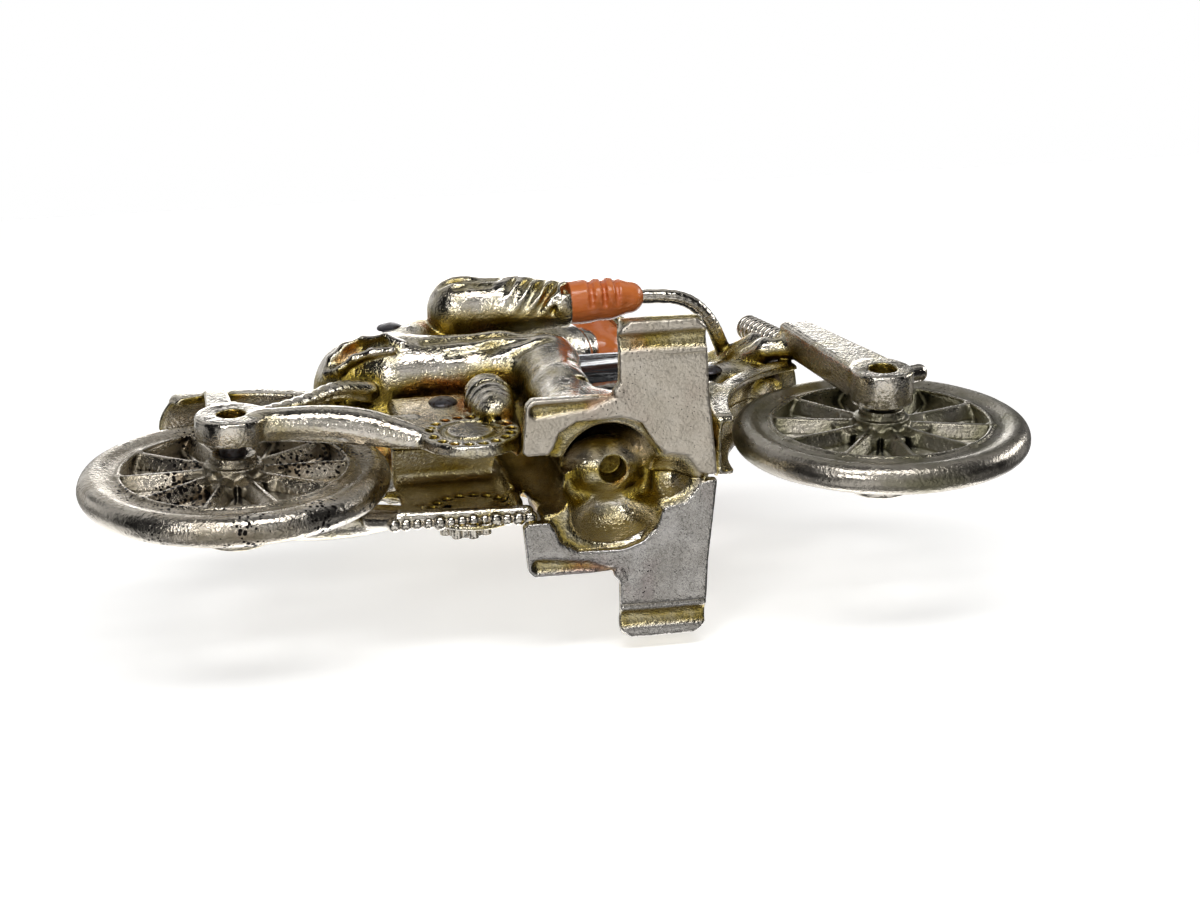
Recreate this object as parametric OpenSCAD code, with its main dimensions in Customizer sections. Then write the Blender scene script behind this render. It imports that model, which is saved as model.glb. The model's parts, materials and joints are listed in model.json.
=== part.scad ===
// Cast racing motorcycle toy with a crouching rider: two hollow half castings that meet on the
// middle plane, held by rivets, with two loose spoked wheels.
// +X points forward, +Y to the rider's left, +Z up. The origin is on the ground, midway
// between the two axles.

/* [Wheels] */
// Outer diameter of each wheel
wheel_d = 70; // [64:1:72]
// Distance between the two axles
wheelbase = 151; // [148:1:156]
// Thickness of the round tyre tube
tyre_d = 7.2; // [6:0.2:8]
// Number of spokes in each wheel
spoke_count = 10; // [8:1:12]
// Width of one spoke, seen from the side
spoke_w = 3.4; // [2.4:0.2:4]
// Half the width of the hub, along the axle
hub_half_w = 6.9; // [6:0.1:7.2]

/* [Axles and rivets] */
// Diameter of the axle pins
axle_d = 6; // [5:0.1:6.2]
// Radial running clearance of the wheels on their axles
wheel_play = 0.1; // [0.05:0.01:0.1]
// How deep the axle ends sit in their bosses
axle_recess = 1.6; // [0.5:0.1:2.5]
// Diameter of the rivet shanks
rivet_d = 4; // [3:0.5:4.5]
// Diameter of the flat rivet heads
rivet_head_d = 6.8; // [6:0.2:8]

/* [Half castings] */
// Distance of the right boss faces from the middle plane
boss_face = 15.5; // [15:0.5:17]
// Distance of the left boss faces from the middle plane
left_boss_face = 13.6; // [13.4:0.2:15]
// Outer diameter of the rear axle bosses
rear_boss_d = 16.4; // [15:0.2:17]
// Outer diameter of the front axle bosses
front_boss_d = 14.6; // [13:0.2:16]
// Wall thickness of the castings
wall = 2.4; // [2:0.2:3]
// Height of the underside of the foot plates above the ground
plate_z = 14; // [12:0.5:16]
// Thickness of the foot plates
plate_t = 3; // [2.5:0.5:4]
// Reach of each foot plate from the middle plane
plate_reach = 37.5; // [34:0.5:39]

/* [Hidden] */
$fn = 48;

nickel = "#b9b2a6";
enamel_orange = "#d9662b";
enamel_black = "#15151a";
rivet_black = "#35343a";

axle_z = wheel_d / 2;
rear_x = -wheelbase / 2;
front_x = wheelbase / 2;
tyre_r = tyre_d / 2;
rim_r = wheel_d / 2 - tyre_d;
bore_r = axle_d / 2;
rear_boss_t = 5.8;
front_boss_in = 7.8;
// How much nearer the middle plane the left stays sit
left_inset = boss_face - left_boss_face;
big = 400;

// Where the rivets cross the middle plane, as [x, z]
hip_rivet_at = [-33, 91.5];
crankcase_rivet_at = [-26, 50];
neck_rivet_at = [43, 73];

// ---------- helpers ----------

// Keeps only the half of a shape on the rider's right, y < 0
module right_half()
    intersection() {
        children();
        translate([-big / 2, -big, -big / 2])
            cube([big, big, big]);
    }

module left_side()
    mirror([0, 1, 0])
        children();

// Smooth limb through a list of [centre, radius] stations
module limb(stations)
    for (i = [0 : len(stations) - 2])
        hull() {
            translate(stations[i][0])
                sphere(r = stations[i][1], $fn = 28);
            translate(stations[i + 1][0])
                sphere(r = stations[i + 1][1], $fn = 28);
        }

// Ball squeezed to three half widths
module lump(centre, half_widths)
    translate(centre)
        scale(half_widths)
            sphere(r = 1, $fn = 32);

// Cylinder along Y from y0 to y1, centred on [x, z]
module across(x, z, r, y0, y1)
    translate([x, y0, z])
        rotate([-90, 0, 0])
            cylinder(h = y1 - y0, r = r);

// Flat shape drawn in X and Z, standing between y0 and y1
module upright(y0, y1)
    translate([0, y1, 0])
        rotate([90, 0, 0])
            linear_extrude(height = y1 - y0)
                children();

// Part of a ring about an axle, between two angles from the forward direction
module arc_band(x, r_in, r_out, half_w, from_deg, to_deg)
    translate([x, 0, axle_z])
        rotate([90, 0, 0])
            rotate([0, 0, from_deg])
                rotate_extrude(angle = to_deg - from_deg, $fn = 96)
                    translate([r_in, -half_w])
                        square([r_out - r_in, 2 * half_w]);

// ---------- rear stays: boss, chain stay, seat stay and mudguard strap ----------

fork_top = [66, 77];

module rear_stays_half(inset) {
    face = boss_face - inset;
    boss_mid = face - rear_boss_t / 2;
    difference() {
        union() {
            across(rear_x, axle_z, rear_boss_d / 2, -face, -face + rear_boss_t);
            // chain stay, sweeping inwards to the chainwheel
            limb([
                [[rear_x + 6, -boss_mid, axle_z - 1], 2.8], [[-48, -12.4 + inset, 33], 3.6],
                [[-36, -10.4 + inset, 29], 3], [[-31, -8.6 + inset, 26], 2.4]
            ]);
            // seat stay
            limb([
                [[rear_x + 5, -boss_mid, axle_z + 4], 2], [[-50, -12.2 + inset, 58], 2],
                [[-43, -9, 62], 2.4]
            ]);
            // strap that holds the mudguard
            limb([[[rear_x - 1.5, -boss_mid, axle_z + 5], 1.9], [[rear_x - 2, -8.2, axle_z + 37.5], 1.6]]);
        }
        across(rear_x, axle_z, bore_r, -big / 2, 1);
    }
}

module right_rear_stays() color(nickel) rear_stays_half(0);
module left_rear_stays() color(nickel) left_side() rear_stays_half(left_inset);

// ---------- fork leg: a flat bar from the fork crown down to the front boss ----------

module fork_leg_half(face)
    difference() {
        union() {
            across(front_x, axle_z, front_boss_d / 2, -face, -front_boss_in);
            upright(-face, -front_boss_in)
                polygon([
                    [fork_top.x - 4, fork_top.y],
                    [fork_top.x + 3, fork_top.y + 1],
                    [front_x + 6.2, axle_z + 2],
                    [front_x - 6.4, axle_z - 1]
                ]);
            // link from the leg to the steering head
            limb([[[fork_top.x - 1, -10.4, fork_top.y - 4], 2.6], [[54, -5, 81], 3]]);
            // small stop on the front of the leg
            limb([[[front_x + 4, -10.6, axle_z + 8], 2.2], [[front_x + 12.5, -10.4, axle_z + 11.5], 2.2]]);
        }
        across(front_x, axle_z, bore_r, -big / 2, 1);
    }

module right_fork_leg() color(nickel) fork_leg_half(boss_face);
module left_fork_leg() color(nickel) left_side() fork_leg_half(left_boss_face);

// ---------- backbone: spine under the seat and tank, steering head and down tube ----------

module backbone_half()
    right_half() {
        limb([[[-44, 0, 64], 6], [[0, 0, 67], 6], [[48, 0, 77], 6.5]]);
        limb([[[55, 0, 72], 6.5], [[50, 0, 89], 6]]);
        limb([[[45, 0, 76], 5], [[31, 0, 49], 4.4], [[26.5, 0, 21], 4.2]]);
    }

module right_backbone() color(nickel) backbone_half();
module left_backbone() color(nickel) left_side() backbone_half();

// ---------- handlebar half ----------

module handlebar_half()
    limb([
        for (spot = [
            [51, -4, 86], [49, -8.5, 85], [46.5, -14.5, 84.5], [41.5, -20.5, 84],
            [34, -22.8, 84], [12, -21.8, 84.5]
        ])
            [spot, 1.8]
    ]);

module right_handlebar() color(nickel) handlebar_half();
module left_handlebar() color(nickel) left_side() handlebar_half();

// ---------- crankcase half: a hollow casting, open underneath ----------

case_top = 60;

// Outside of the case, or the space inside it when skin is the wall thickness
module case_shape(skin) {
    drop = skin > 0 ? 20 : 0;
    // channel behind the wide part
    hull() {
        translate([-38.6 + skin, -10 + skin, 31 - drop])
            cube([27, 11 - skin, 21 + drop]);
        translate([-37 + skin, -7 + skin, case_top - 8])
            cube([27, 8 - skin, 6 - skin]);
    }
    // wide part over the foot plate
    hull() {
        translate([-9 + skin, -16.8 + skin, plate_z + plate_t - drop])
            cube([28 - 2 * skin, 17.8 - skin, 3 + drop]);
        lump([5, -5, 33], [15 - skin, 11 - skin, 14 - skin]);
    }
    // upper part below the tank
    hull() {
        lump([4, -3, 44], [22 - skin, 9 - skin, 14 - skin]);
        lump([18, -1, 44], [11 - skin, 8 - skin, 12 - skin]);
    }
}

module fins() {
    // ribbed bulb beside the rear of the case
    for (i = [0 : 3])
        translate([-16, -11.5, 37 + 3 * i])
            cylinder(h = 1.8, r = 4.2 + 0.5 * i);
    translate([-16, -11.5, 36])
        cylinder(h = 13, r = 3.6);
}

module crankcase_half()
    difference() {
        union() {
            difference() {
                right_half()
                    case_shape(0);
                case_shape(wall);
            }
            fins();
        }
        across(crankcase_rivet_at.x, crankcase_rivet_at.y, rivet_d / 2, -big / 2, 1);
    }

module right_crankcase() color(nickel) crankcase_half();
module left_crankcase() color(nickel) left_side() crankcase_half();

// ---------- foot plates: a T with a wide front arm and a short rear lobe ----------

module plate_outline()
    polygon([
        [31, -0.6], [29, -20], [28, -plate_reach + 1.6], [26, -plate_reach], [11, -plate_reach],
        [9, -plate_reach + 1.6], [8.6, -23], [7, -20.8], [-11, -21], [-12.4, -19.6], [-13.4, -9],
        [-12.4, -8], [-7.4, -8], [-6.4, -9.4], [-5, -13], [-1, -15.4], [9, -15.6], [13.6, -14],
        [16.5, -9], [19, -6.4], [24, -5.6], [27, -1.4], [29, -0.6]
    ]);

module foot_plate()
    difference() {
        union() {
            translate([0, 0, plate_z])
                linear_extrude(height = plate_t)
                    plate_outline();
            // raised lip at the outer end
            translate([9.4, -plate_reach + 2.4, plate_z + 3])
                rotate([0, 90, 0])
                    cylinder(h = 18.2, r = 2.4);
        }
        // groove under the outer end
        translate([5, -plate_reach + 5.2, plate_z])
            rotate([0, 90, 0])
                cylinder(h = 30, r = 1.1);
    }

module right_foot_plate() color(nickel) foot_plate();
module left_foot_plate() color(nickel) left_side() foot_plate();

// ---------- rider: coat, leg and arm ----------

head_at = [22.5, 0, 119];
cuff_at = [8, -21.8, 84.5];

module rider_body() {
    right_half() {
        limb([
            [[-38, -2, 79], 15.5], [[-26, -2, 92], 14.5], [[-8, -1, 104], 14],
            [[8, 0, 109], 10], [[18, 0, 113], 6.5]
        ]);
        // tail of the coat over the saddle
        limb([[[-42, -7, 76], 11.5], [[-34, -9, 72], 10.5]]);
    }
    // thigh, shin and boot
    limb([
        [[-34, -10.5, 71], 9.5], [[-10, -12, 67.5], 8], [[0.5, -12.4, 63], 7.8],
        [[0, -12.4, 42], 7], [[-1, -12.4, 26], 6.4]
    ]);
    limb([[[-3.5, -14, 21], 5.2], [[8, -15.4, 20.4], 3.8]]);
}

module rider_arm()
    limb([
        [[-4, -11, 106], 8], [[-15.5, -20, 91.5], 7.8], [[-2, -21, 88], 7], [cuff_at, 6]
    ]);

// Space inside the hollow torso
module rider_core()
    limb([
        [[-38, 0, 79], 12.2], [[-26, 0, 92], 11.2], [[-8, 0, 104], 10.8], [[8, 0, 109], 6.8]
    ]);

module rider_half()
    difference() {
        union() {
            rider_body();
            rider_arm();
        }
        rider_core();
        case_shape(wall);
        translate([-40, -40, 0])
            cube([60, 40, plate_z + plate_t]);
        translate([cuff_at.x, -40, 70])
            cube([30, 30, 24]);
        across(hip_rivet_at.x, hip_rivet_at.y, rivet_d / 2, -big / 2, 1);
    }

module right_rider() color(nickel) rider_half();
module left_rider() color(nickel) left_side() rider_half();

// ---------- gloved hand on the grip ----------

module hand()
    intersection() {
        limb([[cuff_at, 5.6], [[16, -22, 84], 5.2], [[24.5, -22.4, 84], 4.2]]);
        translate([cuff_at.x, -40, 70])
            cube([30, 40, 24]);
    }

module right_hand() color(enamel_orange) hand();
module left_hand() color(enamel_orange) left_side() hand();

// ---------- head: painted face under a plain cap ----------

module head_shape()
    hull() {
        lump(head_at, [10.4, 9, 10.2]);
        lump(head_at + [2.4, 0, -5.5], [7, 6.2, 6.2]);
    }

module cap_zone()
    translate(head_at)
        rotate([0, 12, 0])
            translate([-20, -20, 1.5])
                cube([40, 40, 30]);

module face_half()
    right_half()
        difference() {
            union() {
                head_shape();
                // nose
                lump(head_at + [10, 0, -2.6], [2, 1.6, 2]);
            }
            cap_zone();
        }

module cap_half()
    right_half()
        intersection() {
            union() {
                translate(head_at)
                    scale([1.06, 1.08, 1.06])
                        translate(-head_at)
                            head_shape();
                // peak over the brow
                translate(head_at + [8, 0, 0.8])
                    rotate([0, 12, 0])
                        scale([0.8, 1, 1])
                            cylinder(h = 1.5, r = 7.4);
            }
            cap_zone();
        }

module right_face() color(enamel_orange) face_half();
module left_face() color(enamel_orange) left_side() face_half();
module right_cap() color(nickel) cap_half();
module left_cap() color(nickel) left_side() cap_half();

// ---------- fuel tank ----------

module tank_half()
    right_half()
        hull() {
            translate([-6, 0, 82])
                sphere(r = 8, $fn = 32);
            translate([-4, -3, 71])
                sphere(r = 6, $fn = 32);
            translate([36, 0, 86])
                sphere(r = 7, $fn = 32);
            translate([36, -2.4, 77])
                sphere(r = 6, $fn = 32);
        }

module right_tank() color(enamel_black) tank_half();
module left_tank() color(enamel_black) left_side() tank_half();

// ---------- mudguards ----------

module rear_mudguard_half()
    right_half() {
        arc_band(rear_x, 40.4, 42.4, 8.4, 42, 112);
        difference() {
            arc_band(rear_x, 38.6, 42.4, 8.4, 42, 112);
            arc_band(rear_x, 38, 40.4, 6.8, 41, 113);
        }
    }

module front_mudguard_half()
    right_half() {
        arc_band(front_x, 39.4, 41.4, 7.4, 104, 186);
        difference() {
            arc_band(front_x, 37.8, 41.4, 7.4, 104, 186);
            arc_band(front_x, 37, 39.4, 5.8, 103, 187);
        }
    }

module right_rear_mudguard() color(nickel) rear_mudguard_half();
module left_rear_mudguard() color(nickel) left_side() rear_mudguard_half();
module right_front_mudguard() color(nickel) front_mudguard_half();
module left_front_mudguard() color(nickel) left_side() front_mudguard_half();

// ---------- chainwheels ----------

chainwheel_at = [-23, 26.5];
chainwheel_r = 11.4;
link_count = 18;

module chainwheel(face) {
    difference() {
        across(chainwheel_at.x, chainwheel_at.y, chainwheel_r, -face, -6.6);
        for (i = [0 : link_count - 1])
            across(
                chainwheel_at.x + 9 * cos(i * 360 / link_count),
                chainwheel_at.y + 9 * sin(i * 360 / link_count),
                0.9, -face - 1, -face + 1
            );
    }
    across(chainwheel_at.x, chainwheel_at.y, 1.2, -face - 0.7, -face);
}

chainwheel_face = 11;

module right_chainwheel() color(nickel) chainwheel(chainwheel_face);

module left_chainwheel()
    color(nickel)
        left_side() {
            face = chainwheel_face - left_inset;
            chainwheel(face);
            // fluted knob
            across(chainwheel_at.x - 1, chainwheel_at.y + 1, 6, -face - 3.6, -face);
            for (i = [0 : 9])
                across(
                    chainwheel_at.x - 1 + 5.6 * cos(i * 36),
                    chainwheel_at.y + 1 + 5.6 * sin(i * 36),
                    1.3, -face - 3.6, -face
                );
        }

// ---------- fork springs ----------

spring_low = [62, -10.6, 76];
spring_high = [57.5, -10.6, 91];
spring_turns = 8;

module fork_spring() {
    step = (spring_high - spring_low) / spring_turns;
    lean = atan2(spring_high.x - spring_low.x, spring_high.z - spring_low.z);
    translate(spring_low)
        rotate([0, lean, 0])
            cylinder(h = norm(spring_high - spring_low), r = 2.3);
    for (i = [0 : spring_turns - 1])
        translate(spring_low + step * (i + 0.5))
            rotate([0, lean, 0])
                rotate_extrude()
                    translate([2.2, 0])
                        circle(r = 0.8, $fn = 16);
}

module right_fork_spring() color(nickel) fork_spring();
module left_fork_spring() color(nickel) left_side() fork_spring();

// ---------- wheels, one casting each ----------

// A wheel on the axle at x, its first spoke at an angle from the forward direction
module wheel(x, first_spoke)
    translate([x, 0, axle_z])
        rotate([90, 0, 0])
            difference() {
                union() {
                    // tyre and rim
                    rotate_extrude($fn = 120)
                        translate([wheel_d / 2 - tyre_r, 0])
                            circle(r = tyre_r, $fn = 40);
                    rotate_extrude($fn = 120)
                        polygon([
                            [rim_r - 2.6, -1.6], [rim_r + 1.6, -2.6],
                            [rim_r + 1.6, 2.6], [rim_r - 2.6, 1.6]
                        ]);
                    // hub with a collar at each side
                    cylinder(h = 2 * hub_half_w, r = 4.7, center = true);
                    cylinder(h = 9.4, r = 6.4, center = true);
                    // spokes
                    for (i = [0 : spoke_count - 1])
                        rotate([0, 0, first_spoke + i * 360 / spoke_count])
                            translate([3.6, -spoke_w / 2, -2.4])
                                cube([rim_r - 4.6, spoke_w, 4.8]);
                }
                cylinder(h = big, r = bore_r + wheel_play, center = true);
            }

module rear_wheel() color(nickel) wheel(rear_x, 0);
module front_wheel() color(nickel) wheel(front_x, 180 / spoke_count);

// ---------- axle pins ----------

module axle(x)
    across(x, axle_z, bore_r, -boss_face + axle_recess, left_boss_face - axle_recess);

module rear_axle() color(rivet_black) axle(rear_x);
module front_axle() color(rivet_black) axle(front_x);

// ---------- rivets ----------

module rivet(at, half_grip) {
    across(at.x, at.y, rivet_d / 2, -half_grip, half_grip);
    across(at.x, at.y, rivet_head_d / 2, -half_grip - 1.2, -half_grip);
    across(at.x, at.y, rivet_head_d / 2, half_grip, half_grip + 1.2);
}

module hip_rivet() color(rivet_black) rivet(hip_rivet_at, 16.2);
module crankcase_rivet() color(rivet_black) rivet(crankcase_rivet_at, 10);
module neck_rivet() color(rivet_black) rivet(neck_rivet_at, 5.8);

right_rear_stays();
left_rear_stays();
right_fork_leg();
left_fork_leg();
right_backbone();
left_backbone();
right_handlebar();
left_handlebar();
right_crankcase();
left_crankcase();
right_foot_plate();
left_foot_plate();
right_rider();
left_rider();
right_hand();
left_hand();
right_face();
left_face();
right_cap();
left_cap();
right_tank();
left_tank();
right_rear_mudguard();
left_rear_mudguard();
right_front_mudguard();
left_front_mudguard();
right_chainwheel();
left_chainwheel();
right_fork_spring();
left_fork_spring();
rear_wheel();
front_wheel();
rear_axle();
front_axle();
hip_rivet();
crankcase_rivet();
neck_rivet();
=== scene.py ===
import json
import math

import bpy
import numpy as np
from mathutils import Matrix, Vector


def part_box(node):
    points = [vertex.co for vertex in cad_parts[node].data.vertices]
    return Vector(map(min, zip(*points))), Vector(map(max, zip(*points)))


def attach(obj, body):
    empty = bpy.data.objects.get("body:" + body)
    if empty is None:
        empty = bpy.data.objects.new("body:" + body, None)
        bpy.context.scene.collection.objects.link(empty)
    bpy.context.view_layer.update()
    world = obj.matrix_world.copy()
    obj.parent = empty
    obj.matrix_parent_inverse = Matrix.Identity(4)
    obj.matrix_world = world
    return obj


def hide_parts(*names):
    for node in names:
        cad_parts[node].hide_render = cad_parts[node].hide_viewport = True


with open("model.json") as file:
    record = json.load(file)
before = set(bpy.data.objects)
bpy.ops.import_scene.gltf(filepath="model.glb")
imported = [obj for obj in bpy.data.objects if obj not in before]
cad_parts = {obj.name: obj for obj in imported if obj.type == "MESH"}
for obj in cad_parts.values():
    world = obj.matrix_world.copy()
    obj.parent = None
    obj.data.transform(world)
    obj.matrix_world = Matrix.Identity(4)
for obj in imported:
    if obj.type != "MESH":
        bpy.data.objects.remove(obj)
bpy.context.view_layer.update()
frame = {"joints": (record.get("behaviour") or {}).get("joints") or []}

# ---------------------------------------------------------------------------------------------
# The two half castings. Each side of the toy is one hollow sand casting in grey iron: stays,
# crankcase, foot plate, mudguards, fork leg, handlebar and half of the rider. Both are tumbled,
# nickel plated and riveted together on the middle plane.
# ---------------------------------------------------------------------------------------------

MM = 0.001
CAST_GRID = 0.42
MOST_TRIANGLES = 190_000


def joint_spot(name):
    """Where a joint's axle crosses the middle plane, in millimetres."""
    joint = next(j for j in frame["joints"] if j["name"] == name)
    return np.array(joint["pos_m"]) / MM


def corner(node, high):
    """Lowest or highest corner of a CAD node, in millimetres."""
    return np.array(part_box(node)[1 if high else 0]) / MM


rear_axle = joint_spot("rear_wheel_spin")
front_axle = joint_spot("front_wheel_spin")
boss_face = {"right": -corner("right_rear_stays", False)[1], "left": corner("left_rear_stays", True)[1]}
plate_low = corner("right_foot_plate", False)
plate_z = plate_low[2]
plate_t = 3.0
reach = -plate_low[1]
bore_r = 3.2
seam = 0.08


def soft_min(a, b, k):
    """The smaller of two distances, rounded over a width k where they meet."""
    if k <= 0:
        return np.minimum(a, b)
    h = np.clip(0.5 + 0.5 * (b - a) / k, 0, 1)
    return b + (a - b) * h - k * h * (1 - h)


class Iron:
    """A block of space that holds, at each point, the distance to the metal's surface in mm."""

    far = 9.0
    cut_margin = 6.0

    def __init__(self, low, high, step):
        self.low = np.array(low, float)
        self.step = step
        self.count = np.ceil((np.array(high) - self.low) / step).astype(int) + 1
        self.axes = [self.low[i] + step * np.arange(self.count[i]) for i in range(3)]
        self.field = np.full(self.count, self.far, np.float32)

    def grid(self):
        """The coordinates of every cell."""
        x, y, z = (axis.astype(np.float32) for axis in self.axes)
        return x[:, None, None], y[None, :, None], z[None, None, :]

    def window(self, shape, margin):
        """The cells near a shape, as slices, with their coordinates."""
        cut = []
        for i in range(3):
            a = np.searchsorted(self.axes[i], shape[1][i] - margin)
            b = np.searchsorted(self.axes[i], shape[2][i] + margin)
            cut.append(slice(a, max(b, a)))
        x, y, z = (self.axes[i][cut[i]].astype(np.float32) for i in range(3))
        return tuple(cut), x[:, None, None], y[None, :, None], z[None, None, :]

    def add(self, shape, blend=0.0):
        """Joins a shape on, with a cast fillet of about the blend's size."""
        cut, x, y, z = self.window(shape, blend + self.far)
        self.field[cut] = soft_min(self.field[cut], shape[0](x, y, z), blend)

    def cut(self, shape, blend=0.0):
        """Takes a shape away."""
        cut, x, y, z = self.window(shape, blend + self.cut_margin)
        self.field[cut] = -soft_min(-self.field[cut], shape[0](x, y, z), blend)

    def run(self, stations, blend, away=False):
        """A limb, bar or crease through a list of (centre, radius) stations."""
        for (a, ra), (b, rb) in zip(stations, stations[1:]):
            (self.cut if away else self.add)(round_bar(a, b, ra, rb), blend)

    def waves(self, spacing, height, seed):
        """Moves the surface in and out in smooth random waves, as hand-rubbed metal has."""
        source = np.random.default_rng(seed)
        coarse = [int(self.step * n / spacing) + 4 for n in self.count]
        heights = source.uniform(-height, height, coarse).astype(np.float32)
        for i in range(3):
            t = self.step * np.arange(self.count[i]) / spacing + 1
            cell, part = np.floor(t).astype(int), t - np.floor(t)
            weights = np.zeros((self.count[i], coarse[i]), np.float32)
            rows = np.arange(self.count[i])
            shares = (
                (1 - part) ** 3 / 6, (3 * part**3 - 6 * part**2 + 4) / 6,
                (-3 * part**3 + 3 * part**2 + 3 * part + 1) / 6, part**3 / 6,
            )
            for k, share in enumerate(shares):
                weights[rows, cell - 1 + k] = share
            heights = np.moveaxis(np.tensordot(weights, heights, (1, i)), 0, i)
        self.field += heights

    def at(self, points):
        """The distance at each of many points, read between the cells."""
        place = np.clip((points - self.low) / self.step, 0, self.count - 1.001)
        cell = place.astype(int)
        part = place - cell
        total = np.zeros(len(points))
        for i in (0, 1):
            for j in (0, 1):
                for k in (0, 1):
                    share = 1.0
                    for axis, o in enumerate((i, j, k)):
                        share = share * (part[:, axis] if o else 1 - part[:, axis])
                    total += share * self.field[cell[:, 0] + i, cell[:, 1] + j, cell[:, 2] + k]
        return total

    def normals(self, points):
        """The outward direction at each point."""
        gap = self.step * 0.8 * np.eye(3)
        slope = np.stack([self.at(points + gap[i]) - self.at(points - gap[i]) for i in range(3)], 1)
        return slope / (np.linalg.norm(slope, axis=1, keepdims=True) + 1e-9)


def eased(stations):
    """The same run of (centre, radius) stations with its corners rounded off."""
    for _ in range(2):
        turns = [stations[0]]
        for (a, ra), (b, rb) in zip(stations, stations[1:]):
            for share in (0.25, 0.75):
                turns.append((np.array(a) * (1 - share) + np.array(b) * share, ra * (1 - share) + rb * share))
        stations = turns + [stations[-1]]
    return stations


def round_bar(a, b, ra, rb=None):
    """A bar from a to b with ball ends, tapered from radius ra to rb."""
    a, b = np.array(a, np.float32), np.array(b, np.float32)
    rb = ra if rb is None else rb
    d = b - a
    size = float(d @ d) or 1e-6

    def distance(x, y, z):
        t = np.clip(((x - a[0]) * d[0] + (y - a[1]) * d[1] + (z - a[2]) * d[2]) / size, 0, 1)
        gap = np.sqrt((x - a[0] - t * d[0]) ** 2 + (y - a[1] - t * d[1]) ** 2 + (z - a[2] - t * d[2]) ** 2)
        return gap - (ra + (rb - ra) * t)

    r = max(ra, rb)
    return distance, np.minimum(a, b) - r, np.maximum(a, b) + r


def can(a, b, r, edge=0.4):
    """A flat-ended cylinder from a to b with rounded edges."""
    a, b = np.array(a, np.float32), np.array(b, np.float32)
    middle, half = (a + b) / 2, np.linalg.norm(b - a) / 2
    d = (b - a) / (2 * half)

    def distance(x, y, z):
        px, py, pz = x - middle[0], y - middle[1], z - middle[2]
        t = px * d[0] + py * d[1] + pz * d[2]
        q = np.sqrt(np.maximum(px**2 + py**2 + pz**2 - t**2, 0)) - r + edge
        t = np.abs(t) - half + edge
        return np.sqrt(np.maximum(q, 0) ** 2 + np.maximum(t, 0) ** 2) + np.minimum(np.maximum(q, t), 0) - edge

    return distance, np.minimum(a, b) - r, np.maximum(a, b) + r


def lump(centre, half):
    """An ellipsoid with three half widths."""
    c, h = np.array(centre, np.float32), np.array(half, np.float32)

    def distance(x, y, z):
        px, py, pz = (x - c[0]) / h[0], (y - c[1]) / h[1], (z - c[2]) / h[2]
        k = np.sqrt(px**2 + py**2 + pz**2) + 1e-6
        g = np.sqrt((px / h[0]) ** 2 + (py / h[1]) ** 2 + (pz / h[2]) ** 2) + 1e-6
        return k * (k - 1) / g

    return distance, c - h, c + h


def block(low, high, edge=0.4):
    """A box with rounded edges."""
    low, high = np.array(low, np.float32), np.array(high, np.float32)
    c, h = (low + high) / 2, (high - low) / 2 - edge

    def distance(x, y, z):
        q = [np.abs(v - c[i]) - h[i] for i, v in enumerate((x, y, z))]
        out = np.sqrt(sum(np.maximum(v, 0) ** 2 for v in q))
        return out + np.minimum(np.maximum(np.maximum(q[0], q[1]), q[2]), 0) - edge

    return distance, low, high


def outline_gap(u, v, points):
    """Distance in a plane from an outline, negative inside it."""
    p = np.array(points, np.float32)
    best, inside = np.float32(1e9), False
    for a, b in zip(np.roll(p, 1, 0), p):
        e = b - a
        wu, wv = u - a[0], v - a[1]
        t = np.clip((wu * e[0] + wv * e[1]) / float(e @ e), 0, 1)
        best = np.minimum(best, (wu - t * e[0]) ** 2 + (wv - t * e[1]) ** 2)
        slant = (b[0] - a[0]) / ((b[1] - a[1]) or 1e-6)
        inside = inside ^ (((a[1] > v) != (b[1] > v)) & (u < slant * (v - a[1]) + a[0]))
    return np.sqrt(best) * np.where(inside, -1, 1)


def slab(points, axis, low, high, edge=0.4):
    """A flat outline drawn across one axis, from low to high along it, with rounded edges."""
    mid, half = (low + high) / 2, (high - low) / 2 - edge
    others = [i for i in range(3) if i != axis]

    def distance(x, y, z):
        v = (x, y, z)
        a = outline_gap(v[others[0]], v[others[1]], points) + edge
        b = np.abs(v[axis] - mid) - half
        return np.sqrt(np.maximum(a, 0) ** 2 + np.maximum(b, 0) ** 2) + np.minimum(np.maximum(a, b), 0) - edge

    p = np.array(points, float)
    return distance, np.insert(p.min(0), axis, low), np.insert(p.max(0), axis, high)


def guard(x0, z0, r, half_w, thick, lip, from_deg, to_deg):
    """A mudguard: a curved band with its two edges turned in, between two angles."""
    mid, spread = math.radians((from_deg + to_deg) / 2), math.radians((to_deg - from_deg) / 2)

    def distance(x, y, z):
        q = np.sqrt((x - x0) ** 2 + (z - z0) ** 2)
        turn = np.arctan2(z - z0, x - x0) - mid
        turn = np.abs((turn + np.pi) % (2 * np.pi) - np.pi)
        band = np.maximum(np.abs(q - r + 0.035 * np.square(y)) - thick / 2, np.abs(y) - half_w)
        side = np.maximum(np.abs(np.abs(y) - half_w + 0.8) - 0.9, np.abs(q - r + lip / 2 + 1.2) - lip / 2 - 1)
        shell = soft_min(band, side, 0.8)
        return -soft_min(-shell, -(turn - spread) * q - 0.05 * np.square(y), 1.5)

    low = np.array([x0 - r - 4, -half_w, z0 - r - 4])
    return distance, low, np.array([x0 + r + 4, half_w, z0 + r + 4])


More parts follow.
